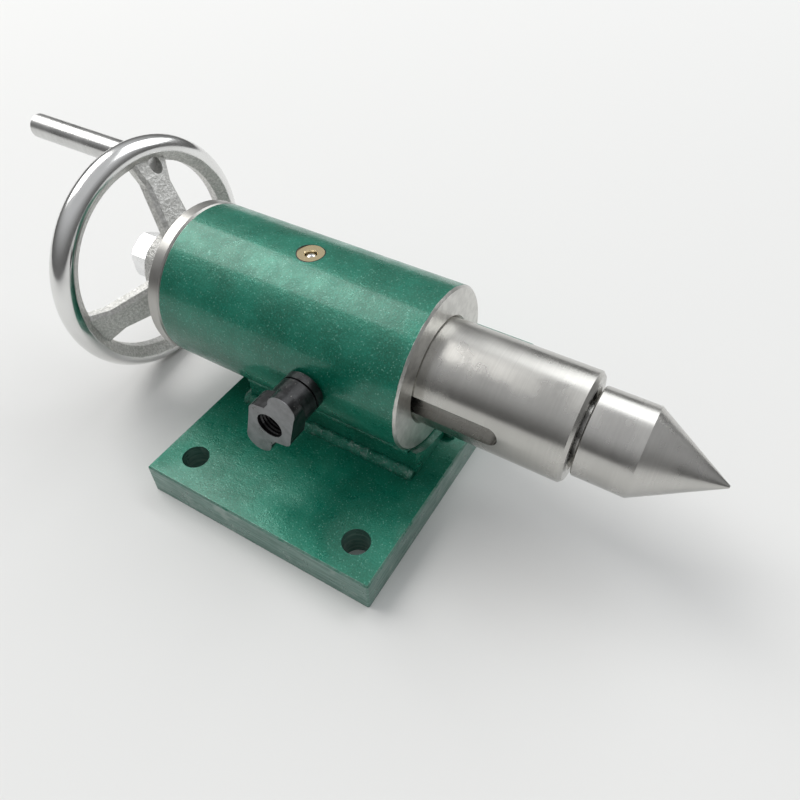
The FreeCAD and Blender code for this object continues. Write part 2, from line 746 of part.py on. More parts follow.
def add_spokes(body):
    """One spoke, waisted between hub and rim, repeated round the axis."""
    root_radius = "hub_dia / 2 - spoke_overlap"
    tip_radius = "rim_inner_dia / 2 + spoke_overlap / 2"
    root_middle = "rim_offset + hub_length / 2"
    tip_middle = "0 - spoke_set_back"
    share = "((spoke_waist_radius - (%s)) / (%s - (%s)))" % (root_radius, tip_radius, root_radius)
    waist_middle = "(%s) * (1 - %s) + (%s) * %s" % (root_middle, share, tip_middle, share)
    root = spoke_section(body, "spoke_root", root_radius, root_middle, "spoke_width_hub")
    waist = spoke_section(body, "spoke_waist", "spoke_waist_radius", waist_middle, "spoke_width_waist")
    tip = spoke_section(body, "spoke_tip", tip_radius, tip_middle, "spoke_width_rim")
    spoke = body.newObject("PartDesign::AdditiveLoft", "spoke")
    spoke.Profile = root
    spoke.Sections = [waist, tip]
    spoke.Ruled = True
    doc.recompute()
    pattern = body.newObject("PartDesign::PolarPattern", "spokes")
    pattern.Originals = [spoke]
    pattern.Axis = (origin_plane(body, "X_Axis"), [""])
    pattern.Angle = 360
    pattern.Occurrences = 3
    body.Tip = pattern
    doc.recompute()


def add_hub(body):
    section = sketch_on(body, "hub_section", "XZ_Plane")
    front = "rim_offset + hub_length"
    edge = "hub_chamfer"
    pinned_outline(section, [("rim_offset", "0"), (front, "0"), (front, "hub_dia / 2 - " + edge),
                             (front + " - " + edge, "hub_dia / 2"),
                             ("rim_offset + " + edge, "hub_dia / 2"),
                             ("rim_offset", "hub_dia / 2 - " + edge)])
    hub = body.newObject("PartDesign::Revolution", "hub_turned")
    hub.Profile = section
    hub.ReferenceAxis = (section, ["H_Axis"])
    hub.Angle = 360
    doc.recompute()


# Where the handle sits in the wheel's own frame, whose first spoke points along its Z axis.
HANDLE_ACROSS = "handle_radius * cos(90 + handle_angle - wheel_angle)"
HANDLE_UP = "handle_radius * sin(90 + handle_angle - wheel_angle)"


def add_handle_boss(body):
    """Short boss from the rim's middle plane to its rear edge."""
    outline = sketch_on(body, "handle_boss", "YZ_Plane")
    circle_in(outline, HANDLE_ACROSS, HANDLE_UP, "handle_boss_dia / 2")
    boss = body.newObject("PartDesign::Pad", "handle_boss_pad")
    boss.Profile = outline
    bind(boss, Length="rim_section / 2")
    boss.Reversed = True
    doc.recompute()


def cut_hub_bore(body):
    """Bore, keyway and the hole for the crank handle's stud."""
    bore = sketch_on(body, "hub_bore", "YZ_Plane")
    circle_in(bore, "0", "0", "journal_dia / 2 + seat_gap")
    circle_in(bore, HANDLE_ACROSS, HANDLE_UP, "handle_stud_dia / 2 + seat_gap")
    drill = body.newObject("PartDesign::Pocket", "bore_cut")
    drill.Profile = bore
    drill.Type = "ThroughAll"
    drill.Midplane = True
    doc.recompute()
    slot = sketch_on(body, "hub_keyway", "YZ_Plane")
    side = "key_width / 2 + seat_gap"
    top = "journal_dia / 2 + key_height / 2 + seat_gap"
    pinned_outline(slot, [("0 - (" + side + ")", "0"), (side, "0"), (side, top),
                          ("0 - (" + side + ")", top)])
    broach = body.newObject("PartDesign::Pocket", "keyway_cut")
    broach.Profile = slot
    broach.Type = "ThroughAll"
    broach.Midplane = True
    body.Tip = broach
    doc.recompute()


def wheel_key():
    return keep("wheel_key", wheel_box("wheel_key_bar", "key_length", "key_width", "key_height",
                                       HUB_REAR + " + 2", "(journal_dia - key_height) / 2"))


def wheel_washer():
    return keep("wheel_washer", ring("washer_ring", "washer_dia / 2", "stud_dia / 2 + 0.25",
                                     NUT_FRONT, "washer_width"))


def wheel_nut():
    """Hexagon nut with both ends chamfered round."""
    hexagon = bind(add("Part::Prism", "nut_hexagon"), Circumradius="nut_across_flats / sqrt(3)",
                   Height="nut_height")
    hexagon.Polygon = 6
    place(hexagon, ALONG_X, NUT_REAR, "0", "axis_height")
    corner = "nut_across_flats / sqrt(3)"
    rounding = chamfered("nut_rounding", corner, NUT_REAR, "nut_height", "nut_chamfer")
    bore = turned("wheel_nut_bore", "stud_dia / 2 + thread_gap", NUT_REAR + " - 1", "nut_height + 2")
    return keep("wheel_nut", cut("wheel_nut_cut", common("wheel_nut_body", hexagon, rounding), bore))


def crank_handle():
    """Plain bar with a smaller threaded stud in the rim's boss; the hole goes on past the stud."""
    rear_face = "(" + RIM_CENTRE + " - rim_section / 2)"
    bar = chamfered("handle_bar", "handle_dia / 2", rear_face + " - handle_length", "handle_length",
                    "handle_chamfer")
    stud = turned("handle_stud", "handle_stud_dia / 2", rear_face + " - 1", "handle_stud_length + 1")
    handle = fused("handle_body", bar, stud)
    return keep("crank_handle", off_axis(handle, "handle_radius", "handle_angle"))


def off_axis(obj, radius, angle):
    """Move a piece modelled on the quill axis out to a radius at an angle from +Y towards +Z."""
    return place(obj, UPRIGHT, "0", "%s * cos(%s)" % (radius, angle), "%s * sin(%s)" % (radius, angle))


# ---- live centre ----

def live_centre():
    """Spindle, boss, head and point turned from one bar."""
    tail = REAR_BEARING + " - spindle_tail"
    blunt = "tip_flat_dia / 2"
    tip = CONE_REAR + " + (centre_dia - tip_flat_dia) / 2 / tan(cone_half_angle)"
    body = turned_body("centre", [
        (tail, "0"), (tip, "0"), (tip, blunt), (CONE_REAR, "centre_dia / 2"),
        (HEAD_REAR + " + centre_chamfer", "centre_dia / 2"),
        (HEAD_REAR, "centre_dia / 2 - centre_chamfer"),
        (HEAD_REAR, "spindle_boss_dia / 2"), (BEARING_FRONT, "spindle_boss_dia / 2"),
        (BEARING_FRONT, "spindle_dia / 2"), (tail, "spindle_dia / 2")])
    groove = sketch_on(body, "centre_clip_groove", "XZ_Plane")
    rear = REAR_BEARING + " - circlip_width - clip_play"
    floor = "spindle_dia / 2 - circlip_height / 2"
    pinned_outline(groove, [(rear, floor), (REAR_BEARING, floor), (REAR_BEARING, "spindle_dia"),
                            (rear, "spindle_dia")])
    cutter = body.newObject("PartDesign::Groove", "centre_clip_groove_cut")
    cutter.Profile = groove
    cutter.ReferenceAxis = (groove, ["H_Axis"])
    cutter.Angle = 360
    body.Tip = cutter
    doc.recompute()
    place(body, UPRIGHT, "0", "0", "axis_height")
    return keep("live_centre", body)


def race_groove(name, start, clearance):
    """Ball track round the quill axis in the middle of a bearing."""
    track = add("Part::Torus", name)
    bind(track, Radius1="bearing_pitch_radius", Radius2="ball_dia / 2 + " + clearance)
    return place(track, ALONG_X, start + " + bearing_width / 2", "0", "axis_height")


def bearing(which, start):
    """Outer ring, inner ring and nine balls of one deep-groove bearing."""
    outer = ring(which + "_outer_blank", "bearing_dia / 2", "bearing_dia / 2 - ring_wall", start,
                 "bearing_width")
    outer_track = race_groove(which + "_outer_track", start, "race_gap")
    keep(which + "_bearing_outer_ring", cut(which + "_outer_cut", outer, outer_track))
    inner = ring(which + "_inner_blank", "spindle_dia / 2 + seat_gap + ring_wall",
                 "spindle_dia / 2 + seat_gap", start, "bearing_width")
    inner_track = race_groove(which + "_inner_track", start, "seat_gap")
    keep(which + "_bearing_inner_ring", cut(which + "_inner_cut", inner, inner_track))
    balls = []
    for number in range(BALLS):
        ball = bind(add("Part::Sphere", "%s_ball_%d" % (which, number)), Radius="ball_dia / 2")
        angle = 360 * number / BALLS
        place(ball, UPRIGHT, start + " + bearing_width / 2", "bearing_pitch_radius * cos(%.1f)" % angle,
              "axis_height + bearing_pitch_radius * sin(%.1f)" % angle)
        balls.append(ball)
    group = add("Part::Compound", which + "_ball_group")
    group.Links = balls
    keep(which + "_bearing_balls", group)


def bearings():
    bearing("rear", REAR_BEARING)
    bearing("front", FRONT_BEARING)


def bearing_spacers():
    keep("outer_spacer", ring("outer_spacer_ring", "bearing_dia / 2", "bearing_dia / 2 - spacer_wall",
                              SPACER_REAR, "bearing_spacer"))
    keep("inner_spacer", ring("inner_spacer_ring", "spindle_dia / 2 + seat_gap + spacer_wall",
                              "spindle_dia / 2 + seat_gap", SPACER_REAR, "bearing_spacer"))


def circlips():
    """Split rings: one in the quill's bore before the bearings, one on the spindle's tail."""
    bore_clip = ring("bore_clip_ring", "(bearing_dia + circlip_height) / 2 - seat_gap",
                     "(bearing_dia - circlip_height) / 2", BEARING_FRONT, "circlip_width")
    bore_split = box("bore_clip_split", "circlip_width + 2", "circlip_split", "bearing_dia",
                     BEARING_FRONT + " - 1", "0 - circlip_split / 2", "axis_height")
    keep("bore_circlip", cut("bore_clip_cut", bore_clip, bore_split))
    shaft_clip = ring("shaft_clip_ring", "(spindle_dia + circlip_height) / 2",
                      "(spindle_dia - circlip_height) / 2 + seat_gap",
                      REAR_BEARING + " - circlip_width", "circlip_width")
    shaft_split = box("shaft_clip_split", "circlip_width + 2", "circlip_split", "bearing_dia",
                      REAR_BEARING + " - circlip_width - 1", "0 - circlip_split / 2", "axis_height")
    keep("shaft_circlip", cut("shaft_clip_cut", shaft_clip, shaft_split))


# ---- clamp screw ----

def lock_pad():
    """Brass plug that the clamp screw drives into the quill's keyway; it also guides the quill."""
    foot = "bore_dia / 2 - running_gap - keyway_depth + lock_pad_lift"
    return keep("lock_pad", sideways("lock_pad_bar", "lock_pad_dia / 2", foot,
                                     "lock_pad_top - (" + foot + ")"))


def lock_stud():
    """Threaded stud; a thinner tenon holds it in the lever base."""
    start = "lock_pad_top + thread_gap"
    step = "(" + LOCK_COLLAR_BACK + " + lock_stud_grip)"
    bar = sideways("lock_stud_bar", "lock_thread_dia / 2 - thread_gap", start, step + " - (" + start + ")")
    tenon = sideways("lock_tenon", "lock_tenon_dia / 2", step, "lock_tenon_length")
    return keep("lock_stud", fused("lock_stud_body", bar, tenon))


def lock_round(name, radius, x, z, sign):
    """Upright round of the head's plan; the head is the same after half a turn."""
    return sideways(name, radius, "lock_face - lock_head_depth", "lock_head_depth",
                    "lock_station %s %s" % (sign, x), "axis_height %s %s" % (sign, z))


def lock_plan():
    """S-shaped plan of the head: straight sides here, its round lobes and corners as cylinders."""
    half = [("lock_corner_x + lock_corner_radius", "0 - lock_corner_z"),
            ("lock_lobe_x + lock_lobe_dia / 2", "lock_lobe_z"),
            ("lock_lobe_x - lock_lobe_dia / 2", "lock_lobe_z"),
            ("0 - lock_notch_x", "lock_notch_z"),
            ("0 - lock_corner_x", "lock_corner_z + lock_corner_radius")]
    other = [("0 - (%s)" % across, "0 - (%s)" % along) for across, along in half]
    body = body_named("lock_plan_body")
    outline = sketch_on(body, "lock_outline", "XZ_Plane")
    pinned_outline(outline, half + other)
    pad = body.newObject("PartDesign::Pad", "lock_plan_pad")
    pad.Profile = outline
    bind(pad, Length="lock_head_depth")
    doc.recompute()
    place(body, UPRIGHT, "lock_station", "0 - (lock_face - lock_head_depth)", "axis_height")
    rounds = []
    for end, sign in (("upper", "+"), ("lower", "-")):
        rounds.append(lock_round("lock_lobe_" + end, "lock_lobe_dia / 2", "lock_lobe_x",
                                 "lock_lobe_z", sign))
        rounds.append(lock_round("lock_corner_" + end, "lock_corner_radius", "lock_corner_x",
                                 "(0 - lock_corner_z)", sign))
    return fused("lock_plan", body, *rounds)


def lock_lever_base():
    """Round collar and hub with a two-lobed head; a lever rod screws into its threaded face."""
    widest = "(lock_lobe_z + lock_lobe_dia)"
    taper = add("Part::Cone", "lock_taper")
    bind(taper, Radius1="lock_hub_dia / 2", Radius2=widest, Height="lock_head_depth - lock_head_edge")
    place(taper, ALONG_MINUS_Y, "lock_station", "lock_head_depth - lock_face", "axis_height")
    edge = sideways("lock_edge", widest, "lock_face - lock_head_edge", "lock_head_edge")
    head = common("lock_head", lock_plan(), fused("lock_envelope", taper, edge))
    groove_start = "(" + LOCK_COLLAR_BACK + " + lock_collar_width)"
    collar = sideways("lock_collar", "lock_collar_dia / 2", LOCK_COLLAR_BACK, "lock_collar_width")
    groove = sideways("lock_groove", "lock_hub_dia / 2 - lock_groove_depth", groove_start,
                      "lock_groove_width")
    hub_start = "(" + groove_start + " + lock_groove_width)"
    hub = sideways("lock_hub", "lock_hub_dia / 2", hub_start, "lock_face - lock_head_depth - " + hub_start)
    core = sideways("lock_core", "lock_hub_dia / 2", "lock_face - lock_head_depth", "lock_head_depth")
    counterbore = sideways("lock_counterbore", "lock_thread_dia / 2 - thread_gap + seat_gap",
                           LOCK_COLLAR_BACK + " - 1", "lock_stud_grip + 1")
    tenon_hole = sideways("lock_tenon_hole", "lock_tenon_dia / 2 + seat_gap", LOCK_COLLAR_BACK,
                          "lock_stud_grip + lock_tenon_length + seat_gap")
    socket = sideways("lock_socket", "lock_socket_dia / 2", "lock_face - lock_socket_depth",
                      "lock_socket_depth + 1")
    body = fused("lock_base_body", collar, groove, hub, core, head)
    return keep("lock_lever_base", cut("lock_base_cut", body, counterbore, tenon_hole, socket))


# ---- ball oiler ----

def oiler_body():
    """Brass cup: a narrow mouth on top, a floor with an oil hole below."""
    cup = upright("oiler_cup", "oiler_dia / 2", "oiler_depth", "oiler_station", "0", OILER_FOOT)
    chamber = upright("oiler_chamber", "oiler_bore_dia / 2", "oiler_depth - oiler_lip - oiler_floor",
                      "oiler_station", "0", OILER_FOOT + " + oiler_floor")
    mouth = upright("oiler_mouth", "oiler_mouth_dia / 2", "oiler_lip + 2", "oiler_station", "0",
                    OILER_TOP + " - oiler_lip - 1")
    flare = add("Part::Cone", "oiler_flare")
    bind(flare, Radius1="oiler_mouth_dia / 2", Radius2="oiler_mouth_dia / 2 + oiler_flare_width",
         Height="oiler_flare_width")
    place(flare, UPRIGHT, "oiler_station", "0", OILER_TOP + " - oiler_flare_width")
    drain = upright("oiler_drain", "oil_way_dia / 2", "oiler_floor + 2", "oiler_station", "0",
                    OILER_FOOT + " - 1")
    return keep("oiler_body", cut("oiler_cut", cup, chamber, mouth, flare, drain))


def oiler_ball():
    ball = bind(add("Part::Sphere", "oiler_ball_sphere"), Radius="oiler_ball_dia / 2")
    return keep("oiler_ball", place(ball, UPRIGHT, "oiler_station", "0", BALL_CENTRE))


def oiler_spring():
    """Coil that holds the ball up against the mouth."""
    helix = add("Part::Helix", "spring_line")
    bind(helix, Radius="(oiler_spring_dia - oiler_wire_dia) / 2", Height="oiler_spring_length - oiler_wire_dia",
         Pitch="(oiler_spring_length - oiler_wire_dia) / oiler_turns")
    foot = OILER_FOOT + " + oiler_floor + oiler_wire_dia / 2 + seat_gap"
    place(helix, UPRIGHT, "oiler_station", "0", foot)
    section = bind(add("Part::Circle", "spring_section"), Radius="oiler_wire_dia / 2")
    place(section, ALONG_MINUS_Y, "oiler_station + (oiler_spring_dia - oiler_wire_dia) / 2", "0", foot)
    coil = add("Part::Sweep", "spring_coil")
    coil.Sections = [section]
    coil.Spine = (helix, ["Edge1"])
    coil.Solid = True
    coil.Frenet = True
    return keep("oiler_spring", coil)


MAKERS = [base_plate, pedestal, barrel, foot_welds, barrel_welds, end_cap, cap_screws, cap_bush,
          thrust_washers, thrust_cage, thrust_needles, feed_screw, handwheel, wheel_key, wheel_washer,
          wheel_nut, crank_handle, quill, feed_nut, nut_grub_screw, bearings, bearing_spacers,
          circlips, live_centre, lock_pad, lock_stud, lock_lever_base, oiler_body, oiler_ball,
          oiler_spring]


def check_and_write():
    """Stop on any failed object or bad shape; then write one file for each node."""
    doc.recompute()
    for obj in doc.Objects:
        if "Invalid" in obj.State or "Error" in obj.State:
            raise RuntimeError("%s is %s" % (obj.Name, obj.State))
    for node, obj in NODES.items():
        if obj.Shape.isNull() or not obj.Shape.isValid():
            raise RuntimeError("bad shape: " + node)
    for node, obj in NODES.items():
        obj.Shape.exportStep("parts/%s.step" % node)


for maker in MAKERS:
    maker()
check_and_write()
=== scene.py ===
import json
import math

import bmesh
import bpy
from mathutils import Matrix, Vector, noise

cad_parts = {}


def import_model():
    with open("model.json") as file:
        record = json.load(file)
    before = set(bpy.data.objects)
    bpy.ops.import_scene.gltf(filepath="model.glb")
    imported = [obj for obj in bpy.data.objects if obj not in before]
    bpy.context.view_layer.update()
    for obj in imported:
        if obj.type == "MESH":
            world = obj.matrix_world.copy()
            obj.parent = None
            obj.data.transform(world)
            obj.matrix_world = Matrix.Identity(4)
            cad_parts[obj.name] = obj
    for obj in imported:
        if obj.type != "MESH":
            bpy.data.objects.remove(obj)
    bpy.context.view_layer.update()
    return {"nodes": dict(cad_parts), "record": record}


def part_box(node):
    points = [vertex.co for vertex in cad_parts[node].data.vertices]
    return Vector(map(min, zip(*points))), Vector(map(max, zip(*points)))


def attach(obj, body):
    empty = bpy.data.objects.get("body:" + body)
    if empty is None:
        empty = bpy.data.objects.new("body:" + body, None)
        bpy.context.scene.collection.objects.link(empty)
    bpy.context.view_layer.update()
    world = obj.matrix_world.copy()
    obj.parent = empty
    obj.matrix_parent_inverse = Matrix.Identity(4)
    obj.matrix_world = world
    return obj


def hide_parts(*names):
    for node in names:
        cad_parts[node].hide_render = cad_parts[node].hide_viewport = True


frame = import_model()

# Lathe tailstock in its own frame: X along the quill towards the point, -Y is the clamp screw's
# side, Z up from the base plate's underside. Lengths are metres.

AXIS_Z = 0.05
MM = 0.001


# ---- small helpers for node materials ----

class Shader:
    """One material's node tree with short makers for the nodes that it needs."""

    def __init__(self, name, color, roughness, metallic=0.0, **sockets):
        self.material = bpy.data.materials.new(name)
        self.material.use_nodes = True
        self.tree = self.material.node_tree
        self.bsdf = next(n for n in self.tree.nodes if n.type == "BSDF_PRINCIPLED")
        self.bsdf.inputs["Base Color"].default_value = (*color, 1.0)
        self.bsdf.inputs["Roughness"].default_value = roughness
        self.bsdf.inputs["Metallic"].default_value = metallic
        for socket, setting in sockets.items():
            self.bsdf.inputs[socket.replace("_", " ")].default_value = setting
        self.place = self.node("ShaderNodeTexCoord").outputs["Object"]
        self.facing = self.node("ShaderNodeTexCoord").outputs["Normal"]

    def node(self, kind, **settings):
        made = self.tree.nodes.new(kind)
        for name, setting in settings.items():
            setattr(made, name, setting)
        return made

    def feed(self, socket, source):
        if isinstance(source, bpy.types.NodeSocket):
            self.tree.links.new(source, socket)
        elif hasattr(socket.default_value, "__len__") and not isinstance(source, (int, float)):
            full = tuple(source) + (1.0,)
            socket.default_value = full[:len(socket.default_value)]
        else:
            socket.default_value = source

    def math(self, operation, first, second=0.0, clamp=False):
        made = self.node("ShaderNodeMath", operation=operation, use_clamp=clamp)
        self.feed(made.inputs[0], first)
        self.feed(made.inputs[1], second)
        return made.outputs[0]

    def stretch(self, scale):
        """Coordinates scaled by a different factor along each axis."""
        made = self.node("ShaderNodeMapping")
        self.feed(made.inputs["Vector"], self.place)
        made.inputs["Scale"].default_value = scale
        return made.outputs[0]

    def noise(self, scale, detail=3.0, roughness=0.55, vector=None):
        made = self.node("ShaderNodeTexNoise")
        self.feed(made.inputs["Vector"], vector or self.place)
        made.inputs["Scale"].default_value = scale
        made.inputs["Detail"].default_value = detail
        made.inputs["Roughness"].default_value = roughness
        return made.outputs["Fac"]

    def cells(self, scale, output="Distance"):
        made = self.node("ShaderNodeTexVoronoi")
        self.feed(made.inputs["Vector"], self.place)
        made.inputs["Scale"].default_value = scale
        return made.outputs[output]

    def ramp(self, source, low, high, start=0.0, end=1.0):
        """Source from low..high turned into start..end, smooth and limited."""
        made = self.node("ShaderNodeMapRange", interpolation_type="SMOOTHSTEP")
        self.feed(made.inputs["Value"], source)
        for name, setting in (("From Min", low), ("From Max", high), ("To Min", start), ("To Max", end)):
            made.inputs[name].default_value = setting
        return made.outputs[0]

    def parts(self, vector=None):
        made = self.node("ShaderNodeSeparateXYZ")
        self.feed(made.inputs[0], vector or self.place)
        return made.outputs

    def mix(self, factor, first, second):
        made = self.node("ShaderNodeMix", data_type="RGBA")
        self.feed(made.inputs[0], factor)
        self.feed(made.inputs[6], first)
        self.feed(made.inputs[7], second)
        return made.outputs[2]

    def blend(self, factor, first, second):
        made = self.node("ShaderNodeMix", data_type="FLOAT")
        self.feed(made.inputs[0], factor)
        self.feed(made.inputs[2], first)
        self.feed(made.inputs[3], second)
        return made.outputs[0]

    def distance(self, first, second):
        """Length of the diagonal over two perpendicular offsets."""
        squares = self.math("ADD", self.math("MULTIPLY", first, first),
                            self.math("MULTIPLY", second, second))
        return self.math("SQRT", squares)

    def radius(self):
        """Distance from the quill's axis."""
        spot = self.parts()
        return self.distance(spot["Y"], self.math("SUBTRACT", spot["Z"], AXIS_Z))

    def oiler_radius(self):
        """Distance from the oiler's upright axis, which crosses the quill's."""
        low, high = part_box("oiler_body")
        spot = self.parts()
        return self.distance(self.math("SUBTRACT", spot["X"], (low[0] + high[0]) / 2), spot["Y"])

    def bump(self, height, strength, distance, under=None):
        made = self.node("ShaderNodeBump")
        made.inputs["Strength"].default_value = strength
        made.inputs["Distance"].default_value = distance
        self.feed(made.inputs["Height"], height)
        if under is not None:
            self.feed(made.inputs["Normal"], under)
        return made.outputs[0]

    def set(self, **sockets):
        for name, source in sockets.items():
            self.feed(self.bsdf.inputs[name.replace("_", " ")], source)
        return self


# ---- materials ----

def enamel(name, wear=None, wear_color=None, grain=1.0):
    """Green speckled enamel; wear is a maker of a 0..1 mask where bare steel shows."""
    s = Shader(name, (0.004, 0.17, 0.105), 0.36, 0.25, Coat_Weight=0.40, Coat_Roughness=0.12)
    blotch = s.ramp(s.noise(55.0, 4.0), 0.35, 0.68)
    deep = s.mix(blotch, (0.001, 0.132, 0.078), (0.004, 0.188, 0.118))
    grit = s.noise(1500.0, 2.0, 0.6)
    speckled = s.mix(s.ramp(grit, 0.48, 0.66, 0.0, 0.32), deep, (0.03, 0.34, 0.25))
    flake_color = s.cells(2600.0, output="Color")
    flake = s.ramp(s.parts(flake_color)["X"], 0.95, 0.98)
    flaked = s.mix(s.math("MULTIPLY", flake, 0.28), speckled, (0.30, 0.66, 0.54))
    rough = s.blend(s.ramp(s.noise(160.0, 3.0), 0.3, 0.7), 0.26, 0.44)
    peel = s.bump(s.noise(520.0, 2.0), 0.18 * grain, 0.0005)
    grains = s.bump(grit, 0.28 * grain, 0.0003, peel)
    if wear is None:
        return s.set(Base_Color=flaked, Roughness=rough, Normal=grains)
    bare = wear(s)
    shaded = tuple(0.82 * c for c in wear_color)
    steel = s.mix(s.ramp(s.noise(300.0, 3.0), 0.35, 0.65), shaded, wear_color)
    return s.set(Base_Color=s.mix(bare, flaked, steel), Metallic=s.blend(bare, 0.25, 1.0),
                 Roughness=s.blend(bare, rough, 0.34), Normal=grains)


def wobble(s, source, size, scale=220.0):
    """Source shifted back and forth, for an uneven paint edge."""
    shift = s.math("MULTIPLY", s.math("SUBTRACT", s.noise(scale, 3.0), 0.5), size)
    return s.math("ADD", source, shift)


def turned_steel(name, color, roughness, line, lines, radial=False, pits=0.0):
    """Bare steel with fine tool marks round the quill axis, or rings across a face.

    line sets how close the marks are, lines how deep, and pits the share of cells with a pit.
    """
    s = Shader(name, color, roughness, 1.0)
    if radial:
        rings = s.node("ShaderNodeCombineXYZ")
        s.feed(rings.inputs["X"], s.radius())
        marks = s.noise(line, 2.0, 0.7, rings.outputs[0])
    else:
        marks = s.noise(1.0, 2.0, 0.7, s.stretch((line, 30.0, 30.0)))
    cloud = s.noise(38.0, 4.0, 0.6)
    shade = s.mix(s.ramp(cloud, 0.3, 0.72), tuple(0.80 * c for c in color), color)
    shade = s.mix(s.ramp(marks, 0.25, 0.75, 0.0, 0.35), shade, tuple(0.70 * c for c in color))
    rough = s.blend(s.ramp(cloud, 0.35, 0.7), roughness - 0.05, roughness + 0.09)
    normal = s.bump(marks, lines, 0.0002)
    if pits:
        hole = s.ramp(s.cells(260.0), 0.05, 0.11, 1.0, 0.0)
        chosen = s.ramp(s.parts(s.cells(260.0, output="Color"))["X"], 1.0 - pits, 1.0 - pits + 0.02)
        dark = s.math("MULTIPLY", hole, chosen)
        shade = s.mix(dark, shade, (0.03, 0.028, 0.025))
        rough = s.blend(dark, rough, 0.8)
    return s.set(Base_Color=shade, Roughness=rough, Normal=normal)


def barrel_wear(s):
    """Bare steel on both end faces and bevels, and in the bore."""
    spot = s.parts()
    low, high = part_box("barrel")
    edge = wobble(s, spot["X"], 0.0007)
    front = s.ramp(edge, high[0] - 1.0 * MM, high[0] - 0.7 * MM)
    rear = s.ramp(edge, low[0] + 0.7 * MM, low[0] + 1.0 * MM, 1.0, 0.0)
    bore = s.ramp(s.radius(), 0.0300, 0.0302, 1.0, 0.0)
    return s.math("MAXIMUM", s.math("MAXIMUM", front, rear), bore, clamp=True)


def plate_wear(s):
    """Worn bright edges round the plate's top."""
    spot = s.parts()
    low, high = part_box("base_plate")
    ends = s.math("ABSOLUTE", spot["X"])
    sides = s.math("ABSOLUTE", spot["Y"])
    from_end = s.math("SUBTRACT", high[0], ends)
    from_side = s.math("SUBTRACT", high[1], sides)
    nearest = s.math("MINIMUM", from_end, from_side)
    from_top = s.math("SUBTRACT", high[2], spot["Z"])
    edge = s.ramp(s.math("ADD", nearest, from_top), 0.3 * MM, 0.8 * MM, 1.0, 0.0)
    broken = s.ramp(s.noise(170.0, 4.0, 0.7), 0.30, 0.52)
    return s.math("MULTIPLY", edge, broken)


def plate_enamel():
    """The enamel is glossy on top and thin over the milled sides."""
    s = enamel("plate_enamel", plate_wear, (0.50, 0.60, 0.56))
    top_color = s.bsdf.inputs["Base Color"].links[0].from_socket
    top_normal = s.bsdf.inputs["Normal"].links[0].from_socket
    upward = s.ramp(s.parts(s.facing)["Z"], 0.35, 0.6)
    streak = s.noise(1.0, 3.0, 0.65, s.stretch((60.0, 60.0, 900.0)))
    thin = s.mix(s.ramp(streak, 0.35, 0.7), (0.045, 0.155, 0.118), (0.15, 0.285, 0.24))
    blot = s.mix(s.ramp(s.noise(120.0, 4.0, 0.6), 0.55, 0.72, 0.0, 0.6), thin, (0.30, 0.40, 0.36))
    s.set(Base_Color=s.mix(upward, blot, top_color))
    side_normal = s.bump(streak, 0.25, 0.0004)
    both = s.node("ShaderNodeMix", data_type="VECTOR")
    s.feed(both.inputs[0], upward)
    s.feed(both.inputs[4], side_normal)
    s.feed(both.inputs[5], top_normal)
    return s.set(Normal=both.outputs[1])


def barrel_enamel():
    """The barrel's paint, with painted shadow at the oiler's foot and in the joint with the end cap."""
    s = enamel("barrel_enamel", barrel_wear, (0.62, 0.61, 0.58))
    color = s.bsdf.inputs["Base Color"].links[0].from_socket
    # Painted shadow: near-black paint at the oiler's foot and along the rear joint with the end cap.
    outside = s.ramp(s.oiler_radius(), 5.25 * MM, 5.5 * MM, 1.0, 0.0)
    above = s.ramp(s.parts()["Z"], 0.078, 0.079)
    seam_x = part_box("barrel")[0][0]
    seam_shadow = s.ramp(s.parts()["X"], seam_x + 0.2 * MM, seam_x + 0.3 * MM, 1.0, 0.0)
    painted_gap_shadow = s.math("MAXIMUM", s.math("MULTIPLY", outside, above), seam_shadow)
    return s.set(Base_Color=s.mix(painted_gap_shadow, color, (0.006, 0.012, 0.010)))


def weld_enamel():
    """Lumpy weld metal with thin paint, paler on the crests of the lumps and darker in random patches."""
    s = enamel("weld_enamel", None, grain=1.6)
    color = s.bsdf.inputs["Base Color"].links[0].from_socket
    lump = s.noise(330.0, 5.0, 0.7)
    crest = s.ramp(lump, 0.50, 0.70, 0.0, 0.62)
    pale = s.mix(crest, color, (0.30, 0.42, 0.37))
    dark_patches = s.mix(s.ramp(s.noise(90.0, 4.0, 0.7), 0.58, 0.72, 0.0, 0.8), pale, (0.004, 0.035, 0.022))
    return s.set(Base_Color=dark_patches, Roughness=s.blend(crest, 0.42, 0.62), Normal=s.bump(lump, 0.7, 0.0009))


def wheel_metal():
    """Polished outside of the rim, rough casting on the inner slope, spokes and hub."""
    s = Shader("wheel_metal", (0.70, 0.70, 0.685), 0.2, 1.0)
    polished = s.ramp(wobble(s, s.radius(), 0.0006, 90.0), 0.0444, 0.0449)
    cast = s.noise(1100.0, 4.0, 0.65)
    coarse = s.noise(330.0, 3.0, 0.6)
    shade = s.mix(s.ramp(cast, 0.35, 0.7), (0.52, 0.52, 0.50), (0.78, 0.775, 0.755))
    smooth = s.mix(s.ramp(s.noise(24.0, 3.0), 0.3, 0.7), (0.70, 0.70, 0.69), (0.82, 0.82, 0.81))
    rough = s.blend(s.ramp(s.noise(60.0, 4.0), 0.3, 0.75), 0.10, 0.24)
    height = s.math("ADD", cast, s.math("MULTIPLY", coarse, 1.6))
    uneven = s.math("MULTIPLY", height, s.math("SUBTRACT", 1.0, polished))
    return s.set(Base_Color=s.mix(polished, shade, smooth), Roughness=s.blend(polished, 0.46, rough),
                 Normal=s.bump(uneven, 0.55, 0.0007))


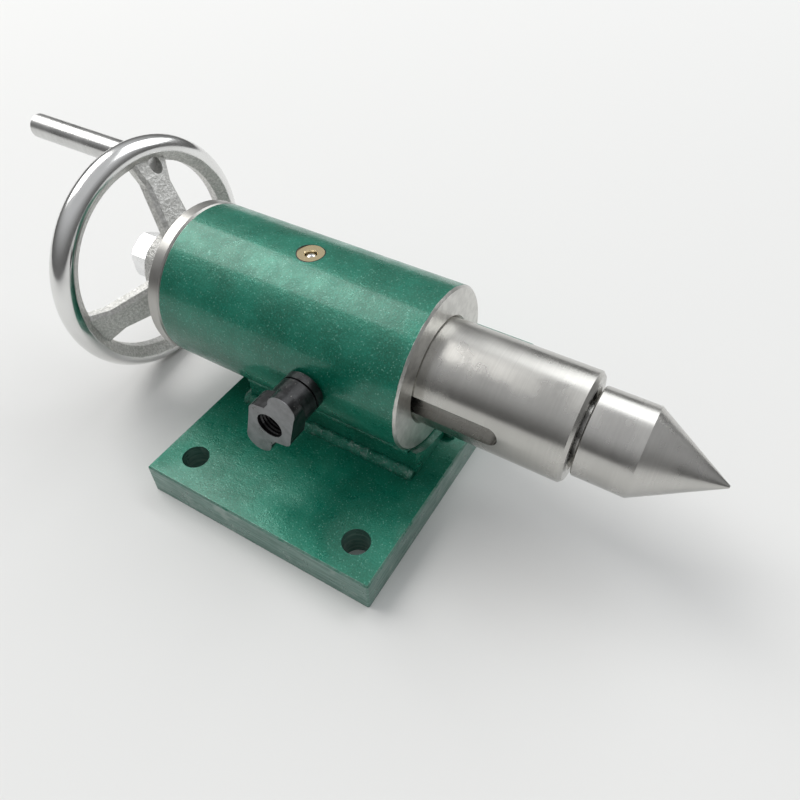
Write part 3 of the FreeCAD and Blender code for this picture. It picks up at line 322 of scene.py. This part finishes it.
def zinc():
    """Bright zinc plate with faint clouds."""
    s = Shader("zinc", (0.86, 0.87, 0.87), 0.22, 1.0)
    cloud = s.noise(130.0, 3.0)
    return s.set(Base_Color=s.mix(s.ramp(cloud, 0.3, 0.7), (0.74, 0.75, 0.75), (0.90, 0.90, 0.90)),
                 Roughness=s.blend(s.ramp(cloud, 0.3, 0.7), 0.18, 0.34), Normal=s.bump(cloud, 0.1, 0.0004))


def brass():
    """Turned brass with rings round the oiler's axis."""
    s = Shader("oiler_brass", (0.78, 0.60, 0.32), 0.27, 1.0)
    rings = s.node("ShaderNodeCombineXYZ")
    s.feed(rings.inputs["X"], s.oiler_radius())
    marks = s.noise(5200.0, 2.0, 0.7, rings.outputs[0])
    return s.set(Base_Color=s.mix(s.ramp(marks, 0.3, 0.7, 0.0, 0.5), (0.86, 0.72, 0.46), (0.66, 0.51, 0.27)),
                 Normal=s.bump(marks, 0.12, 0.0002))


def black_oxide():
    """Blackened steel; the front face of the clamp head is lighter, partly worn ground steel and partly a
    painted reflection.
    """
    s = Shader("black_oxide", (0.022, 0.022, 0.024), 0.34, 0.55, Coat_Weight=0.25, Coat_Roughness=0.2)
    low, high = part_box("lock_lever_base")
    # The front face's lighter colour is worn ground steel together with a painted reflection of the bright
    # surroundings.
    face = s.ramp(s.parts()["Y"], low[1] + 0.10 * MM, low[1] + 0.3 * MM, 1.0, 0.0)
    cloud = s.noise(210.0, 4.0, 0.65)
    dark = s.mix(s.ramp(cloud, 0.4, 0.7), (0.010, 0.010, 0.011), (0.045, 0.045, 0.048))
    grey_face_and_reflection = s.mix(s.ramp(cloud, 0.3, 0.7), (0.15, 0.15, 0.155), (0.25, 0.25, 0.26))
    dust = s.ramp(s.noise(1500.0, 2.0), 0.70, 0.76, 0.0, 0.4)
    return s.set(Base_Color=s.mix(dust, s.mix(face, dark, grey_face_and_reflection), (0.45, 0.43, 0.38)),
                 Roughness=s.blend(s.ramp(cloud, 0.3, 0.7), 0.27, 0.44), Normal=s.bump(cloud, 0.12, 0.0004))


def dress(node, shader):
    """Give a CAD node its one material."""
    obj = frame["nodes"][node]
    obj.data.materials.clear()
    obj.data.materials.append(shader.material)


quill_steel = turned_steel("quill_steel", (0.60, 0.59, 0.56), 0.25, 1900.0, 0.07)
centre_steel = turned_steel("centre_steel", (0.61, 0.60, 0.575), 0.24, 3400.0, 0.12, pits=0.04)
face_steel = turned_steel("face_steel", (0.56, 0.55, 0.525), 0.36, 3200.0, 0.10, radial=True, pits=0.05)
bearing_steel = turned_steel("bearing_steel", (0.66, 0.66, 0.65), 0.18, 3000.0, 0.05)
handle_steel = turned_steel("handle_steel", (0.70, 0.70, 0.69), 0.27, 400.0, 0.03)
bronze = turned_steel("bronze", (0.55, 0.37, 0.17), 0.33, 2500.0, 0.08)
oxide = black_oxide()
wheel = wheel_metal()
plated = zinc()
oiler_brass = brass()
weld_paint = weld_enamel()

FINISH = {
    "base_plate": plate_enamel(),
    "pedestal": enamel("pedestal_enamel", None, grain=1.5),
    "barrel": barrel_enamel(),
    "foot_welds": weld_paint,
    "barrel_welds": weld_paint,
    "end_cap": face_steel,
    "cap_screws": oxide,
    "cap_bush": bronze,
    "feed_screw": centre_steel,
    "handwheel": wheel,
    "wheel_key": bearing_steel,
    "wheel_washer": plated,
    "wheel_nut": plated,
    "crank_handle": handle_steel,
    "quill": quill_steel,
    "feed_nut": bronze,
    "nut_grub_screw": oxide,
    "bore_circlip": oxide,
    "shaft_circlip": oxide,
    "live_centre": centre_steel,
    "lock_pad": oiler_brass,
    "lock_stud": oxide,
    "lock_lever_base": oxide,
    "oiler_body": oiler_brass,
}
for node_name in frame["nodes"]:
    dress(node_name, FINISH.get(node_name, bearing_steel))


# ---- mesh pieces ----

def add_mesh(name, verts, faces, shader, body, slot, smooth=True):
    """A piece that rides on a body and has one material; slot is not used."""
    mesh = bpy.data.meshes.new(name)
    mesh.from_pydata([tuple(v) for v in verts], [], faces)
    mesh.update()
    work = bmesh.new()
    work.from_mesh(mesh)
    bmesh.ops.recalc_face_normals(work, faces=work.faces[:])
    work.to_mesh(mesh)
    work.free()
    for face in mesh.polygons:
        face.use_smooth = smooth
    obj = bpy.data.objects.new(name, mesh)
    bpy.context.scene.collection.objects.link(obj)
    mesh.materials.append(shader.material)
    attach(obj, body)
    return obj


def tube(rings):
    """Vertices and faces of a capped skin over rings with the same number of points each."""
    count = len(rings[0])
    verts = [point for ring in rings for point in ring]
    faces = []
    for index in range(len(rings) - 1):
        following = index + 1
        for k in range(count):
            nxt = (k + 1) % count
            faces.append((index * count + k, index * count + nxt,
                          following * count + nxt, following * count + k))
    faces.append(tuple(range(count)))
    faces.append(tuple(len(verts) - count + k for k in reversed(range(count))))
    return verts, faces


SIDE_LEG = 3.4 * MM
END_LEG = 3.9 * MM
FRONT_WELD_RUN = 20.0 * MM


def lumps(place, scale, seed):
    """Smooth unevenness of -1..1 at a place; each seed gives another pattern."""
    return noise.noise(Vector(place) * scale + Vector((seed, 0.0, 0.0)))


def foot_weld_path():
    """Stations round the pedestal's foot: (x, y, outward x, outward y, leg).

    The weld starts part way along the front face, goes round the far side and the rear, and
    ends at the near front corner.
    """
    low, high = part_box("pedestal")
    start = high[1] - FRONT_WELD_RUN
    corners = [(high[0], start), (high[0], high[1]), (low[0], high[1]), (low[0], low[1]),
               (high[0], low[1])]
    legs = (END_LEG, SIDE_LEG, END_LEG, SIDE_LEG)
    step = 0.5 * MM
    stations = []
    for index, leg in enumerate(legs):
        corner, following = corners[index], corners[index + 1]
        run = Vector((following[0] - corner[0], following[1] - corner[1]))
        out = Vector((run.y, -run.x)).normalized()
        for k in range(int(run.length / step)):
            spot = Vector(corner) + run.normalized() * (k * step)
            stations.append((spot.x, spot.y, out.x, out.y, leg))
        if index == len(legs) - 1:
            break
        for k in range(15):
            turn = Matrix.Rotation(math.pi / 2 * k / 14, 2) @ out
            share = k / 14
            stations.append((following[0], following[1], turn.x, turn.y,
                             leg * (1 - share) + legs[index + 1] * share))
    return stations


def foot_weld_bead():
    """One rippled fillet bead along the foot weld's path, in place of the plain CAD weld."""
    plate_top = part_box("base_plate")[1][2]
    rings = []
    walked = 0.0
    before = None
    for x, y, out_x, out_y, leg in foot_weld_path():
        spot = Vector((x, y))
        walked += (spot - before).length + 0.0002 if before is not None else 0.0
        before = spot
        ripple = 0.28 * MM * abs(math.sin(walked / (2.6 * MM) + 1.2 * lumps((x, y, 0), 90, 5)))
        sway = 0.6 * MM * lumps((x, y, 0.0), 130.0, 1.0)
        ring = []
        for k in range(9):
            angle = math.pi / 2 * k / 8
            grow = leg + sway + ripple * math.sin(2 * angle)
            away = grow * math.sin(angle) ** 1.25
            up = grow * math.cos(angle) ** 1.25
            rough = 0.35 * MM * lumps((x + out_x * away, y + out_y * away, up), 420.0, 3.0)
            away = max(away + rough * math.sin(angle), 0.0)
            up = max(up + rough * math.cos(angle), 0.0)
            ring.append(Vector((x + out_x * away, y + out_y * away, plate_top + up)))
        sunk = 0.4 * MM
        ring[-1].z = plate_top - 0.1 * MM
        ring.append(Vector((x - out_x * sunk, y - out_y * sunk, plate_top - sunk)))
        ring[0].x -= out_x * 0.1 * MM
        ring[0].y -= out_y * 0.1 * MM
        rings.append(ring)
    bead = add_mesh("foot_weld_bead", *tube(rings), weld_paint, "housing", "weld")
    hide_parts("foot_welds")


def barrel_weld_beads():
    """A rippled bead over the CAD weld on each side, between pedestal and barrel."""
    low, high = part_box("barrel_welds")
    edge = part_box("pedestal")[1]
    radius = high[1] - edge[1]
    length = high[0] - low[0]
    last = 149
    sides = 14
    for name, side in (("near", -1), ("far", 1)):
        rings = []
        for k in range(last + 1):
            x = low[0] + length * k / last
            end = min(1.0, 6.0 * min(k, last - k) / last + 0.55)
            ripple = 0.12 * MM * abs(math.sin(x / (1.3 * MM)))
            ring = []
            for m in range(sides):
                angle = 2 * math.pi * m / sides
                uneven = 0.22 * MM * lumps((x, side * 0.02, angle * MM), 300.0, 8.0)
                size = radius * end * 0.94 + ripple + uneven
                ring.append(Vector((x, side * edge[1] + size * math.cos(angle),
                                    edge[2] + size * math.sin(angle))))
            rings.append(ring)
        add_mesh("barrel_weld_bead_" + name, *tube(rings), weld_paint, "housing", "weld")


def thread(name, start, direction, outer, inner, pitch, length, shader, body, slot):
    """Helical ridge of triangular section along a line from start; inner is the crest's radius."""
    way = Vector(direction).normalized()
    side = way.orthogonal().normalized()
    other = way.cross(side)
    steps = 28
    total = int(steps * length / pitch)
    rings = []
    for k in range(total + 1):
        angle = 2 * math.pi * k / steps
        along = pitch * k / steps
        fade = min(1.0, 1.6 * k / steps, 1.6 * (total - k) / steps)
        crest = outer + (inner - outer) * max(fade, 0.03)
        out = side * math.cos(angle) + other * math.sin(angle)
        foot = Vector(start) + way * along
        rings.append([foot + out * outer - way * pitch * 0.42,
                      foot + out * crest - way * pitch * 0.06,
                      foot + out * crest + way * pitch * 0.06,
                      foot + out * outer + way * pitch * 0.42])
    add_mesh(name, *tube(rings), shader, body, slot, smooth=False)


def socket_thread():
    """Thread inside the clamp head's socket, from the record's mount."""
    socket = next(m for m in frame["record"]["mounts"] if m["name"] == "lever_socket")
    mouth = Vector(socket["pos_m"])
    wall = socket["dims"]["r_mm"] * MM
    thread("socket_thread", mouth + Vector((0, 1.3 * MM, 0)), (0, 1, 0), wall + 0.03 * MM,
           wall - 0.5 * MM, 1.25 * MM, 6.6 * MM, oxide, "clamp_screw", "black_steel")


def stud_thread():
    """Last turns of the thread on the feed screw's rear end, behind the nut."""
    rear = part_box("feed_screw")[0][0]
    thread("stud_thread", (rear + 0.5 * MM, 0, AXIS_Z), (1, 0, 0), 5.5 * MM, 6.12 * MM,
           1.4 * MM, 2.4 * MM, centre_steel, "handwheel", "ground_steel")


foot_weld_bead()
barrel_weld_beads()
socket_thread()
stud_thread()


# ---- stage ----

def floor():
    """Plain pale paper just under the plate."""
    size = 6.0
    corners = [(-size, -size, 0), (size, -size, 0), (size, size, 0), (-size, size, 0)]
    mesh = bpy.data.meshes.new("floor")
    mesh.from_pydata(corners, [], [(0, 1, 2, 3)])
    obj = bpy.data.objects.new("floor", mesh)
    bpy.context.scene.collection.objects.link(obj)
    obj.location.z = -0.05 * MM
    s = Shader("floor_paper", (0.80, 0.80, 0.79), 0.9)
    s.bsdf.inputs["Specular IOR Level"].default_value = 0.1
    mesh.materials.append(s.material)


def lamp(name, place, size, watts, color):
    """Square soft lamp aimed at the part."""
    target = Vector((0, 0, 0.03))
    data = bpy.data.lights.new(name, "AREA")
    data.shape = "SQUARE"
    data.size = size
    data.energy = watts
    data.color = color
    obj = bpy.data.objects.new(name, data)
    bpy.context.scene.collection.objects.link(obj)
    obj.location = place
    obj.rotation_euler = (target - Vector(place)).to_track_quat("-Z", "Y").to_euler()


def world():
    """Grey surroundings, lighter towards the top."""
    made = bpy.data.worlds.new("studio")
    bpy.context.scene.world = made
    made.use_nodes = True
    tree = made.node_tree
    back = tree.nodes["Background"]
    coord = tree.nodes.new("ShaderNodeTexCoord")
    split = tree.nodes.new("ShaderNodeSeparateXYZ")
    tree.links.new(coord.outputs["Generated"], split.inputs[0])
    ramp = tree.nodes.new("ShaderNodeValToRGB")
    ramp.color_ramp.elements[0].position = 0.0
    ramp.color_ramp.elements[0].color = (0.16, 0.16, 0.16, 1)
    ramp.color_ramp.elements[1].position = 0.75
    ramp.color_ramp.elements[1].color = (0.95, 0.96, 0.98, 1)
    middle = ramp.color_ramp.elements.new(0.28)
    middle.color = (0.33, 0.33, 0.33, 1)
    tree.links.new(split.outputs["Z"], ramp.inputs[0])
    tree.links.new(ramp.outputs[0], back.inputs["Color"])
    back.inputs["Strength"].default_value = 0.60


def camera():
    """Camera of the hero view, fitted to the part's own edges."""
    data = bpy.data.cameras.new("camera")
    data.lens = 30.87
    data.sensor_width = 36.0
    obj = bpy.data.objects.new("camera", data)
    bpy.context.scene.collection.objects.link(obj)
    obj.location = (0.11595, -0.15882, 0.22211)
    obj.rotation_euler = tuple(math.radians(v) for v in (43.233, 0.159, 30.721))
    bpy.context.scene.camera = obj


floor()
world()
lamp("window_left", (-1.9, 0.1, 2.3), 2.0, 50.0, (1.0, 0.99, 0.97))
lamp("window_back", (0.6, 2.2, 2.1), 2.4, 38.0, (0.97, 0.99, 1.0))
camera()
bpy.context.scene.view_settings.view_transform = "Standard"
